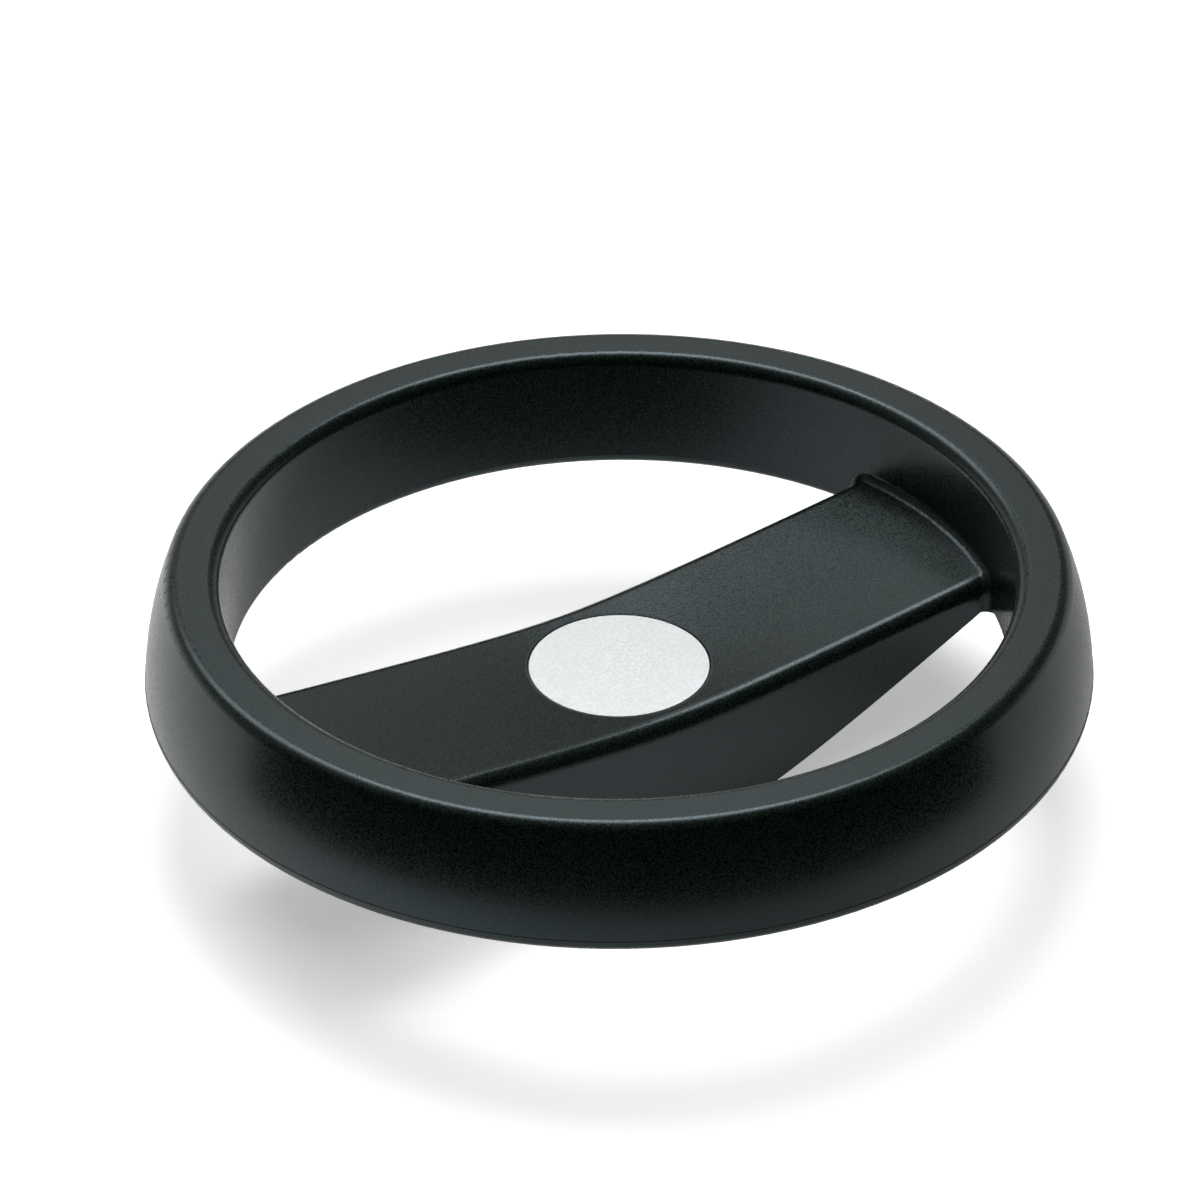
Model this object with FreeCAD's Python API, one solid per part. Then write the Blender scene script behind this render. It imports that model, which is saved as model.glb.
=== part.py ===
import FreeCAD, Part
import math
import os

# Two-spoke machine handwheel: a black moulded wheel with a steel bush in its hub and a thin cover disc.
# Millimetres. The origin is the centre of the hub's foot, +Z runs up the spindle's axis to the cover disc,
# and +X runs along one spoke.

# Rim
WHEEL_DIAMETER = 160.0        # over the foot of the rim, its widest place
RIM_HEIGHT = 21.9             # foot to top face
RIM_LIFT = 24.0               # the rim's foot above the hub's foot
RIM_FOOT_WIDTH = 14.3         # radial width at the foot
RIM_OUTER_LEAN = 4.6          # how far the outer wall leans in on its way up
RIM_INNER_LEAN = 0.95         # how far the inner wall leans out on its way up
RIM_OUTER_CROWN = 0.9         # bulge of the outer wall, at half height
RIM_TOP_OUTER_ROUND = 2.6
RIM_TOP_INNER_ROUND = 2.4
RIM_FOOT_OUTER_ROUND = 2.2
RIM_FOOT_INNER_ROUND = 1.9
PARTING_HEIGHT = 2.4          # where the mould halves meet on the outer wall, above the rim's foot
PARTING_STEP = 0.08           # the lower mould half stands this much proud there

# Spokes
SPOKE_WIDTH = 39.5
SPOKE_TOP_HEIGHT = 6.9        # the top face where it meets the rim, above the rim's foot
SPOKE_RISE = 24.6             # climb of the lower edge, from the hub's side to the rim's inner wall
SPOKE_HUB_HEIGHT = 0.9        # the lower edge where it meets the hub, above the hub's foot
SPOKE_ROOT_HEIGHT = 0.7       # the lower edge turns level here, above the rim's foot, and runs into the rim
SPOKE_EDGE_ROUND = 2.8        # along both sides of the top face
SPOKE_ROOT_FILLET = 1.8       # where a spoke runs into the rim
SPOKE_WALL = 3.0              # side walls
SPOKE_SKIN = 3.2              # plastic under the top face

# Ribs and pockets under the spokes
RIB_THICKNESS = 2.2
CROSS_RIBS = 2                # under each spoke
RIB_STEP_BACK = 1.5           # the ribs stop this far short of the walls' lower edges
POCKET_CORNER_ROUND = 2.0
RIM_END_WALL = 5.0            # plastic between the last pocket and the rim's inner wall

# Hub
HUB_DIAMETER = 36.0
HUB_FACE_HEIGHT = 1.4         # the front face, above the rim's foot
HUB_FACE_MARGIN = 0.4         # flat ring round the cover disc's seat
HUB_FOOT_BEVEL = 0.8

# Cover disc
CAP_DIAMETER = 31.0
CAP_THICKNESS = 1.2
CAP_EDGE_BEVEL = 0.25
CAP_CLEARANCE = 0.1           # all round its edge
CAP_SUNK = 0.1                # its face lies this far below the hub's face

# Steel bush, and the room over it for the head of the spindle's end screw
BORE_DIAMETER = 14.0
BORE_BEVEL = 1.0
BUSH_DIAMETER = 24.0
BUSH_COLLAR_LENGTH = 3.0      # round stretch at each end
BUSH_ACROSS_FLATS = 22.0      # six flats between the collars keep it from turning in the plastic
BUSH_FLATS = 6
BUSH_GROOVE_DIAMETER = 20.0
BUSH_GROOVE_WIDTH = 4.0       # the groove at mid length keeps it from sliding out
SCREW_ROOM_DIAMETER = 21.0
SCREW_ROOM_DEPTH = 6.1        # bush to cover disc

# What follows from these sizes
RIM_RADIUS = WHEEL_DIAMETER / 2
RIM_TOP = RIM_LIFT + RIM_HEIGHT
INNER_FOOT_RADIUS = RIM_RADIUS - RIM_FOOT_WIDTH
INNER_TOP_RADIUS = INNER_FOOT_RADIUS + RIM_INNER_LEAN
OUTER_TOP_RADIUS = RIM_RADIUS - RIM_OUTER_LEAN
HUB_RADIUS = HUB_DIAMETER / 2
HUB_FACE = RIM_LIFT + HUB_FACE_HEIGHT
SEAT_RADIUS = CAP_DIAMETER / 2 + CAP_CLEARANCE
SEAT_FLOOR = HUB_FACE - CAP_SUNK - CAP_THICKNESS
FLAT_RADIUS = SEAT_RADIUS + HUB_FACE_MARGIN
BUSH_LENGTH = SEAT_FLOOR - SCREW_ROOM_DEPTH
SPOKE_HALF_WIDTH = SPOKE_WIDTH / 2
SPOKE_ROOT = RIM_LIFT + SPOKE_ROOT_HEIGHT
SPOKE_SLOPE = SPOKE_RISE / (INNER_FOOT_RADIUS - HUB_RADIUS)
FOOT_EDGE_RADIUS = HUB_RADIUS - SPOKE_HUB_HEIGHT / SPOKE_SLOPE
LEVEL_RADIUS = HUB_RADIUS + (SPOKE_ROOT - SPOKE_HUB_HEIGHT) / SPOKE_SLOPE
SPOKE_END_TOP = RIM_LIFT + SPOKE_TOP_HEIGHT
POCKET_END_RADIUS = INNER_FOOT_RADIUS - RIM_END_WALL
HUB_MIDDLE = RIM_LIFT / 2     # deep in the plastic, where the hub's foot and its flat end

AXIS = FreeCAD.Vector(0, 0, 1)
ORIGIN = FreeCAD.Vector(0, 0, 0)
NEAR = 1e-3                   # two points this close are the same
BITE = 0.25                   # how deep the spokes reach into the rim before they are joined, of its width
ROOT_ROOM = 3.0               # level stretch for the root fillets while they are made, in fillet radii
BAR_LEVEL_RADIUS = LEVEL_RADIUS - ROOT_ROOM * SPOKE_ROOT_FILLET
OVERSHOOT = 5.0               # cutting tools stick out of the plastic by this much


def spoke_top(radius):
    """Height of the spokes' top faces, a shallow cone that climbs from the hub's flat to the rim."""
    slope = (SPOKE_END_TOP - HUB_FACE) / (INNER_FOOT_RADIUS - FLAT_RADIUS)
    return HUB_FACE + slope * (radius - FLAT_RADIUS)


def spoke_under(radius):
    """Height of the spokes' lower edges: a steep cone from the hub's foot up to the rim."""
    return SPOKE_HUB_HEIGHT + SPOKE_SLOPE * (radius - HUB_RADIUS)


def limited(size, room):
    """A round's radius, kept under the room that its wall leaves."""
    return min(size, 0.95 * room)


def point(radius, height):
    """A point of a turned outline, in the XZ plane."""
    return FreeCAD.Vector(radius, 0, height)


def turned(edges):
    """The solid that a closed outline in the XZ plane gives when it is turned about Z."""
    return Part.Face(Part.Wire(edges)).revolve(ORIGIN, AXIS, 360)


def lines(points):
    """Straight edges from each point to the next."""
    return [Part.LineSegment(a, b).toShape() for a, b in zip(points, points[1:])]


def turned_polygon(*corners):
    """A turned solid whose outline has straight sides; each corner is a radius and a height."""
    points = [point(*corner) for corner in corners]
    return turned(lines(points + points[:1]))


def cylinder(radius, low, high):
    """A plain cylinder about Z between two heights."""
    return Part.makeCylinder(radius, high - low, FreeCAD.Vector(0, 0, low))


def samples(edge, count=5):
    """Points spread evenly along an edge, its ends included."""
    first, last = edge.FirstParameter, edge.LastParameter
    return [edge.valueAt(first + (last - first) * i / (count - 1)) for i in range(count)]


def towards(centre, start, end, share):
    """The point a share of the way round a circle's arc, from start to end, less than half a turn apart."""
    first, last = start - centre, end - centre
    angle = first.getAngle(last)
    along = first * math.sin((1 - share) * angle) + last * math.sin(share * angle)
    return centre + along * (1 / math.sin(angle))


def arc(centre, start, end):
    """An outline's arc about a centre."""
    return Part.Arc(start, towards(centre, start, end, 0.5), end).toShape()


def rounding(centre, start, end, share=0.5):
    """A round between two stretches of an outline, in two arcs that each stay a light face when turned."""
    seam = towards(centre, start, end, share)
    return [arc(centre, start, seam), arc(centre, seam, end)]


def corner_round(before, corner, after, size):
    """Centre, start and end of the round where two straight stretches of an outline meet."""
    back = (before - corner).normalize()
    on = (after - corner).normalize()
    half_angle = back.getAngle(on) / 2
    reach = size / math.tan(half_angle)
    centre = corner + (back + on).normalize() * (size / math.sin(half_angle))
    return centre, corner + back * reach, corner + on * reach


def crown(start, end, rise):
    """Centre and radius of the arc from start to end that bulges by rise to its right-hand side."""
    chord = end - start
    outwards = FreeCAD.Vector(chord.z, 0, -chord.x).normalize()
    radius = (chord.Length ** 2 / 4 + rise ** 2) / (2 * rise)
    return (start + end) * 0.5 - outwards * (radius - rise), radius


def rim_ring():
    """The rim: crowned outer wall, leaning inner wall, rounds, and the fine step of the mould halves."""
    foot_inner = point(INNER_FOOT_RADIUS, RIM_LIFT)
    foot_outer = point(RIM_RADIUS, RIM_LIFT)
    parting_low = point(RIM_RADIUS, RIM_LIFT + PARTING_HEIGHT)
    parting_high = point(RIM_RADIUS - PARTING_STEP, RIM_LIFT + PARTING_HEIGHT)
    top_outer = point(OUTER_TOP_RADIUS, RIM_TOP)
    top_inner = point(INNER_TOP_RADIUS, RIM_TOP)
    top_room = (OUTER_TOP_RADIUS - INNER_TOP_RADIUS) / 2

    foot_inner_round = corner_round(top_inner, foot_inner, foot_outer, RIM_FOOT_INNER_ROUND)
    foot_outer_round = corner_round(foot_inner, foot_outer, parting_low,
                                    limited(RIM_FOOT_OUTER_ROUND, PARTING_HEIGHT))
    top_inner_round = corner_round(top_outer, top_inner, foot_inner, limited(RIM_TOP_INNER_ROUND, top_room))

    # The top outer round touches the flat top and the crowned wall from inside
    size = limited(RIM_TOP_OUTER_ROUND, top_room)
    wall_centre, wall_radius = crown(parting_high, top_outer, RIM_OUTER_CROWN)
    height = RIM_TOP - size
    reach = math.sqrt((wall_radius - size) ** 2 - (height - wall_centre.z) ** 2)
    centre = point(wall_centre.x + reach, height)
    wall_end = wall_centre + (centre - wall_centre).normalize() * wall_radius
    flat_end = centre + AXIS * size

    # The foot's inner round is parted below the height where the spokes run into it
    centre_foot, wall_foot, flat_foot = foot_inner_round
    seam_height = limited(SPOKE_ROOT_HEIGHT / 2, RIM_FOOT_INNER_ROUND)
    seam_turn = math.acos(1 - seam_height / RIM_FOOT_INNER_ROUND)
    share = 1 - seam_turn / (wall_foot - centre_foot).getAngle(flat_foot - centre_foot)

    edges = rounding(*foot_inner_round, share)
    edges += lines([foot_inner_round[2], foot_outer_round[1]])
    edges += rounding(*foot_outer_round)
    edges += lines([foot_outer_round[2], parting_low, parting_high])
    edges.append(arc(wall_centre, parting_high, wall_end))
    edges += rounding(centre, wall_end, flat_end)
    edges += lines([flat_end, top_inner_round[1]])
    edges += rounding(*top_inner_round)
    edges += lines([top_inner_round[2], foot_inner_round[1]])
    return turned(edges).rotated(ORIGIN, AXIS, 90)


def strip():
    """An upright slab as wide as the spokes, from the hub's foot to over the rim."""
    corner = FreeCAD.Vector(-RIM_RADIUS, -SPOKE_HALF_WIDTH, 0)
    return Part.makeBox(2 * RIM_RADIUS, SPOKE_WIDTH, RIM_TOP, corner)


def between_sides(solid):
    """What a solid has between the two planes of the spokes' sides."""
    return solid.common(strip())


def spoke_bar():
    """Both spokes as one bar with rounded top edges, level below where it enters the rim."""
    end = INNER_FOOT_RADIUS + BITE * RIM_FOOT_WIDTH
    bar = between_sides(turned_polygon(
        (0, 0), (FOOT_EDGE_RADIUS, 0), (BAR_LEVEL_RADIUS, SPOKE_ROOT), (end, SPOKE_ROOT),
        (end, spoke_top(end)), (0, spoke_top(0))))
    top_edges = []
    for edge in bar.Edges:
        points = samples(edge)
        on_side = all(abs(abs(p.y) - SPOKE_HALF_WIDTH) < NEAR for p in points)
        on_top = all(abs(p.z - spoke_top(math.hypot(p.x, p.y))) < NEAR for p in points)
        if on_side and on_top:
            top_edges.append(edge)
    return bar.makeFillet(limited(SPOKE_EDGE_ROUND, SPOKE_END_TOP - SPOKE_ROOT), top_edges)


def hub_flat():
    """The round flat that fills the hollow of the cone over the hub and carries the cover disc."""
    return cylinder(FLAT_RADIUS, HUB_MIDDLE, HUB_FACE)


def spoke_wedge():
    """The sliver that the bar lacks where its underside turns level early; its top stays inside the bar."""
    return between_sides(turned_polygon(
        (0, 0), (FOOT_EDGE_RADIUS, 0), (LEVEL_RADIUS, SPOKE_ROOT), (BAR_LEVEL_RADIUS, SPOKE_ROOT)))


def root_edges(body):
    """Where the bar's sides and top faces run into the rim; the edge under it stays sharp."""
    def is_root(edge):
        points = samples(edge)
        on_rim = min(math.hypot(p.x, p.y) for p in points) > INNER_FOOT_RADIUS - NEAR
        in_strip = max(abs(p.y) for p in points) < SPOKE_HALF_WIDTH + NEAR
        heights = [p.z for p in points]
        return on_rim and in_strip and SPOKE_ROOT + NEAR < max(heights) < SPOKE_END_TOP + RIM_INNER_LEAN
    return [edge for edge in body.Edges if is_root(edge)]


def outer_form():
    """The wheel as it looks from above: rim, spokes and hub in one, with fillets where they meet."""
    body = rim_ring().fuse(spoke_bar())
    return body.makeFillet(SPOKE_ROOT_FILLET, root_edges(body)).fuse([spoke_wedge(), hub_flat()])


def pocket_prism(inner, outer):
    """One pocket's upright prism, between two distances along the spoke, the centre rib and a side wall."""
    low, high = -OVERSHOOT, SPOKE_END_TOP
    width = SPOKE_HALF_WIDTH - SPOKE_WALL - RIB_THICKNESS / 2
    block = Part.makeBox(outer - inner, width, high - low, FreeCAD.Vector(inner, RIB_THICKNESS / 2, low))
    block = block.cut(cylinder(HUB_RADIUS, low - 1, high + 1)).common(cylinder(POCKET_END_RADIUS, low, high))
    upright = [edge for edge in block.Edges if edge.BoundBox.ZLength > high]
    return block.makeFillet(POCKET_CORNER_ROUND, upright)


def pocket(inner, outer):
    """One pocket under a spoke; its roof follows the top face, so the plastic over it stays even."""
    low, end = -2 * OVERSHOOT, INNER_FOOT_RADIUS
    under_skin = turned_polygon((0, low), (end, low), (end, spoke_top(end) - SPOKE_SKIN),
                                (FLAT_RADIUS, HUB_FACE - SPOKE_SKIN), (0, HUB_FACE - SPOKE_SKIN))
    return pocket_prism(inner, outer).common(under_skin)


def pockets():
    """All pockets under both spokes, two rows each side of the centre rib between the cross ribs."""
    pitch = (POCKET_END_RADIUS - HUB_RADIUS) / (CROSS_RIBS + 1)
    walls = [HUB_RADIUS + (i + 1) * pitch for i in range(CROSS_RIBS)]
    starts = [wall + RIB_THICKNESS / 2 for wall in walls]
    ends = [wall - RIB_THICKNESS / 2 for wall in walls] + [POCKET_END_RADIUS]
    cores = [pocket(-ends[0], ends[0])]
    for inner, outer in zip(starts, ends[1:]):
        core = pocket(inner, outer)
        cores += [core, core.mirror(ORIGIN, FreeCAD.Vector(1, 0, 0))]
    return cores + [core.mirror(ORIGIN, FreeCAD.Vector(0, 1, 0)) for core in cores]


def rib_relief():
    """What is taken off the ribs' lower edges, so that they stand back behind the side walls."""
    inner_half = SPOKE_HALF_WIDTH - SPOKE_WALL
    inside = Part.makeBox(2 * RIM_RADIUS, 2 * inner_half, RIM_TOP + OVERSHOOT,
                          FreeCAD.Vector(-RIM_RADIUS, -inner_half, -OVERSHOOT))
    low = -OVERSHOOT
    below = turned_polygon((HUB_RADIUS, low), (POCKET_END_RADIUS, low),
                           (POCKET_END_RADIUS, spoke_under(POCKET_END_RADIUS) + RIB_STEP_BACK),
                           (HUB_RADIUS, SPOKE_HUB_HEIGHT + RIB_STEP_BACK))
    return inside.common(below)


def hub_boss():
    """The hub's round foot, which stands out of the spokes' underside."""
    return turned_polygon((0, 0), (HUB_RADIUS - HUB_FOOT_BEVEL, 0), (HUB_RADIUS, HUB_FOOT_BEVEL),
                          (HUB_RADIUS, HUB_MIDDLE), (0, HUB_MIDDLE))


def bush_outside():
    """The bush without its bore: round ends, six flats between them and a groove at mid length."""
    radius = BUSH_DIAMETER / 2
    flats_low = BUSH_COLLAR_LENGTH
    flats_high = BUSH_LENGTH - BUSH_COLLAR_LENGTH
    body = cylinder(radius, 0, BUSH_LENGTH)
    for i in range(BUSH_FLATS):
        chip = Part.makeBox(radius, 2 * radius, flats_high - flats_low,
                            FreeCAD.Vector(BUSH_ACROSS_FLATS / 2, -radius, flats_low))
        chip.rotate(ORIGIN, AXIS, 360 * i / BUSH_FLATS)
        body = body.cut(chip)
    groove_low = (BUSH_LENGTH - BUSH_GROOVE_WIDTH) / 2
    groove_high = groove_low + BUSH_GROOVE_WIDTH
    groove = cylinder(radius + 1, groove_low, groove_high).cut(
        cylinder(BUSH_GROOVE_DIAMETER / 2, groove_low, groove_high))
    return body.cut(groove)


def wheel_body():
    """The moulding: outer form, hub foot, pockets and the seats of the bush and the cover disc."""
    body = outer_form().fuse(hub_boss())
    body = body.cut(pockets() + [rib_relief()])
    seats = [
        bush_outside(),
        cylinder(SCREW_ROOM_DIAMETER / 2, BUSH_LENGTH - NEAR, SEAT_FLOOR + NEAR),
        cylinder(SEAT_RADIUS, SEAT_FLOOR, HUB_FACE + OVERSHOOT),
    ]
    return body.cut(seats)


def hub_bush():
    """The turned steel insert with its bore, bevelled at both ends."""
    radius = BORE_DIAMETER / 2
    wide = radius + BORE_BEVEL
    bore = turned_polygon((0, 0), (wide, 0), (radius, BORE_BEVEL), (radius, BUSH_LENGTH - BORE_BEVEL),
                          (wide, BUSH_LENGTH), (0, BUSH_LENGTH))
    return bush_outside().cut(bore)


def hub_cap():
    """The thin cover disc, its upper edge bevelled."""
    radius = CAP_DIAMETER / 2
    top = SEAT_FLOOR + CAP_THICKNESS
    return turned_polygon((0, SEAT_FLOOR), (radius, SEAT_FLOOR), (radius, top - CAP_EDGE_BEVEL),
                          (radius - CAP_EDGE_BEVEL, top), (0, top))


def export(name, shape):
    """Write one node, and say whether it is a sound solid."""
    solid = shape.Solids[0]
    print(name, "solids", len(shape.Solids), "valid", solid.isValid(), "volume", round(solid.Volume, 1))
    solid.exportStep("parts/" + name + ".step")


os.makedirs("parts", exist_ok=True)
export("wheel_body", wheel_body())
export("hub_bush", hub_bush())
export("hub_cap", hub_cap())
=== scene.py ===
"""A two-spoke machine handwheel on a pale table: black grained moulding, satin disc, turned bush."""
import logging
import math
from dataclasses import dataclass, field
from enum import Enum

import bmesh
import bpy
from mathutils import Matrix, Vector


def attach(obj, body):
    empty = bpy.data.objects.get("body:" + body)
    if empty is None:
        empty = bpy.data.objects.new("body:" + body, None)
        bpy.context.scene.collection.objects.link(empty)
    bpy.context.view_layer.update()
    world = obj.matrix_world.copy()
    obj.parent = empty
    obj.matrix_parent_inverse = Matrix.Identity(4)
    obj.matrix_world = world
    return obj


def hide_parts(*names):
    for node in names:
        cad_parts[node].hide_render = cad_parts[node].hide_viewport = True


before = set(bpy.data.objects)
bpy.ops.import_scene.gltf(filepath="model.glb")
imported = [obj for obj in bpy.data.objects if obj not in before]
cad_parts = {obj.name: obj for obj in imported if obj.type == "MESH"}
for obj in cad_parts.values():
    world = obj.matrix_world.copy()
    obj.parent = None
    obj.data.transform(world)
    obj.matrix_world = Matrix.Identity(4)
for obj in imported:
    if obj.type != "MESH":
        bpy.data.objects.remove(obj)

LOG = logging.getLogger("handwheel")

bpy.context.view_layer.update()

# Sizes are in metres and angles in radians
BODY = "root"
PHOTO_PIXELS = 1200
WELD_DISTANCE = 2e-6
LENS_AZIMUTH = math.radians(-32.34)

Socket = bpy.types.NodeSocket
Colour = tuple[float, float, float]
# The two ends of a range over which something changes
Band = tuple[float, float]


class Slot(Enum):
    """The names of the record's material slots for the moulding and the disc."""

    MOULDING = "black_polyamide"
    DISC = "satin_aluminium"


class NodeInk:
    """A small helper that adds nodes to one tree and wires them up."""

    def __init__(self, tree: bpy.types.NodeTree) -> None:
        """Empty the tree and start writing in it."""
        self.tree = tree
        tree.nodes.clear()

    def add(self, kind: str, **settings: object) -> bpy.types.Node:
        """Add a node.

        Args:
            kind: Blender's name of the node type.
            settings: properties of the node, such as its operation.

        Returns:
            The new node.
        """
        node = self.tree.nodes.new(kind)
        for name, value in settings.items():
            setattr(node, name, value)
        return node

    def wire(self, source: Socket, *targets: Socket) -> None:
        """Join one output to one or more inputs."""
        for target in targets:
            self.tree.links.new(source, target)

    def feed(self, socket: Socket, value: object) -> None:
        """Give an input what it needs.

        Args:
            socket: the input.
            value: a number, a colour or another node's output.
        """
        if isinstance(value, Socket):
            self.wire(value, socket)
        else:
            socket.default_value = value

    def maths(self, operation: str, first: object, second: object = 0.0) -> Socket:
        """Work out one number.

        Args:
            operation: the Math node's operation.
            first: a number or an output.
            second: a number or an output.

        Returns:
            The result's output.
        """
        node = self.add("ShaderNodeMath", operation=operation)
        self.feed(node.inputs[0], first)
        self.feed(node.inputs[1], second)
        return node.outputs[0]

    def fold(self, operation: str, first: object, *others: object) -> Socket:
        """Add up or multiply several numbers.

        Args:
            operation: the Math node's operation.
            first: a number or an output.
            others: more of them.

        Returns:
            The result's output.
        """
        for other in others:
            first = self.maths(operation, first, other)
        return first

    def ramp(self, value: Socket, band: Band, start: float, end: float) -> Socket:
        """Carry a value smoothly from one range into another.

        Args:
            value: the output to be read.
            band: where it starts to change, and where it stops.
            start: the result at the band's first end.
            end: the result at its second end.

        Returns:
            The result's output.
        """
        node = self.add("ShaderNodeMapRange", interpolation_type="SMOOTHSTEP")
        self.wire(value, node.inputs["Value"])
        node.inputs["From Min"].default_value, node.inputs["From Max"].default_value = band
        node.inputs["To Min"].default_value = start
        node.inputs["To Max"].default_value = end
        return node.outputs["Result"]

    def place(self) -> Socket:
        """The surface point in the object's own metres."""
        return self.add("ShaderNodeTexCoord").outputs["Object"]

    def noise(self, size: float, detail: float = 2.0, roughness: float = 0.5) -> Socket:
        """A noise field whose blobs are about a given size.

        Args:
            size: metres from one blob to the next.
            detail: octaves.
            roughness: how strong the finer octaves are.

        Returns:
            Its value, from 0 to 1.
        """
        node = self.add("ShaderNodeTexNoise", noise_dimensions="3D")
        self.wire(self.place(), node.inputs["Vector"])
        node.inputs["Scale"].default_value = 1.0 / size
        node.inputs["Detail"].default_value = detail
        node.inputs["Roughness"].default_value = roughness
        return node.outputs["Fac"]

    def across(self, direction: Socket, axis: Vector) -> Socket:
        """Measure how far a direction leans along an axis.

        Args:
            direction: the direction's or the place's output.
            axis: the axis, one long.

        Returns:
            The lean, from -1 to 1 for a direction.
        """
        node = self.add("ShaderNodeVectorMath", operation="DOT_PRODUCT")
        self.wire(direction, node.inputs[0])
        node.inputs[1].default_value = axis
        return node.outputs["Value"]

    def seen_rays(self, direct: float, mirrored: float) -> Socket:
        """A strength by the kind of ray, and nothing for the light that spreads.

        Args:
            direct: for the rays of the lens.
            mirrored: for those of gloss and of clear stuff.

        Returns:
            The strength's output.
        """
        path = self.add("ShaderNodeLightPath").outputs
        second = self.maths("MAXIMUM", path["Is Glossy Ray"], path["Is Transmission Ray"])
        return self.maths("ADD", self.maths("MULTIPLY", path["Is Camera Ray"], direct),
                          self.maths("MULTIPLY", second, mirrored))

    def blend(self, amount: Socket, low: Colour, high: Colour) -> Socket:
        """Mix two colours.

        Args:
            amount: the share of the second, from 0 to 1.
            low: the first colour.
            high: the second colour.

        Returns:
            The mixed colour's output.
        """
        node = self.add("ShaderNodeMix", data_type="RGBA")
        self.wire(amount, node.inputs["Factor"])
        node.inputs[6].default_value = (*low, 1.0)
        node.inputs[7].default_value = (*high, 1.0)
        return node.outputs[2]

    def bump(self, height: Socket, depth: float, under: Socket | None = None) -> Socket:
        """Turn a height field into a bent normal.

        Args:
            height: the field, from 0 to 1.
            depth: metres between its lowest and highest points.
            under: a normal that is already bent.

        Returns:
            The normal's output.
        """
        node = self.add("ShaderNodeBump")
        node.inputs["Distance"].default_value = depth
        node.inputs["Strength"].default_value = 1.0
        self.wire(height, node.inputs["Height"])
        if under is not None:
            self.wire(under, node.inputs["Normal"])
        return node.outputs["Normal"]


def new_material(name: str) -> tuple[bpy.types.Material, NodeInk, bpy.types.Node]:
    """Make a material with one main shader.

    Args:
        name: the material's name.

    Returns:
        The material, the helper that writes in it, and its main shader.
    """
    material = bpy.data.materials.new(name)
    material.use_nodes = True
    ink = NodeInk(material.node_tree)
    shader = ink.add("ShaderNodeBsdfPrincipled")
    output = ink.add("ShaderNodeOutputMaterial")
    ink.wire(shader.outputs["BSDF"], output.inputs["Surface"])
    return material, ink, shader


@dataclass(frozen=True)
class GrainedMoulding:
    """Black glass-filled polyamide with the fine grain of a spark-eroded mould."""

    deep: Colour = (0.0004, 0.0024, 0.0010)
    light: Colour = (0.0052, 0.0098, 0.0064)
    gloss_tint: Colour = (0.74, 0.94, 1.0)
    speck_band: Band = (0.36, 0.64)
    sheen_low: float = 0.22
    sheen_high: float = 0.33
    cloud_band: Band = (0.3, 0.7)
    cloud_sheen: float = 0.03
    refraction: float = 1.5
    cloud_size: float = 0.018
    grain_size: float = 0.00036
    grain_depth: float = 0.000010
    pebble_size: float = 0.0011
    pebble_depth: float = 0.000006

    def material(self) -> bpy.types.Material:
        """Build the finish.

        Returns:
            Its material.
        """
        material, ink, shader = new_material("grained_moulding")
        clouds = ink.noise(self.cloud_size, detail=3.0)
        grain = ink.noise(self.grain_size, detail=2.0, roughness=0.6)
        pebbles = ink.noise(self.pebble_size, detail=1.0)
        speck = ink.ramp(grain, self.speck_band, 0.0, 1.0)
        ink.wire(ink.blend(speck, self.deep, self.light), shader.inputs["Base Color"])
        fine = ink.ramp(grain, self.speck_band, self.sheen_low, self.sheen_high)
        ink.wire(ink.maths("ADD", fine, ink.ramp(clouds, self.cloud_band, 0.0, self.cloud_sheen)),
                 shader.inputs["Roughness"])
        shader.inputs["IOR"].default_value = self.refraction
        shader.inputs["Specular Tint"].default_value = (*self.gloss_tint, 1.0)
        coarse = ink.bump(pebbles, self.pebble_depth)
        ink.wire(ink.bump(grain, self.grain_depth, under=coarse), shader.inputs["Normal"])
        return material


@dataclass(frozen=True)
class SatinDisc:
    """Natural anodised aluminium with a fine even satin."""

    dull: Colour = (0.70, 0.72, 0.725)
    bright: Colour = (0.78, 0.80, 0.805)
    tone_band: Band = (0.35, 0.65)
    sheen_low: float = 0.34
    sheen_high: float = 0.46
    sheen_band: Band = (0.3, 0.7)
    mottle_size: float = 0.0006
    grain_size: float = 0.00016
    grain_depth: float = 0.000004

    def material(self) -> bpy.types.Material:
        """Build the finish.

        Returns:
            Its material.
        """
        material, ink, shader = new_material("satin_disc")
        mottle = ink.noise(self.mottle_size, detail=4.0, roughness=0.6)
        grain = ink.noise(self.grain_size, detail=1.0)
        shader.inputs["Metallic"].default_value = 1.0
        tone = ink.ramp(mottle, self.tone_band, 0.0, 1.0)
        ink.wire(ink.blend(tone, self.dull, self.bright), shader.inputs["Base Color"])
        sheen = ink.ramp(mottle, self.sheen_band, self.sheen_low, self.sheen_high)
        ink.wire(sheen, shader.inputs["Roughness"])
        ink.wire(ink.bump(grain, self.grain_depth), shader.inputs["Normal"])
        return material


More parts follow.
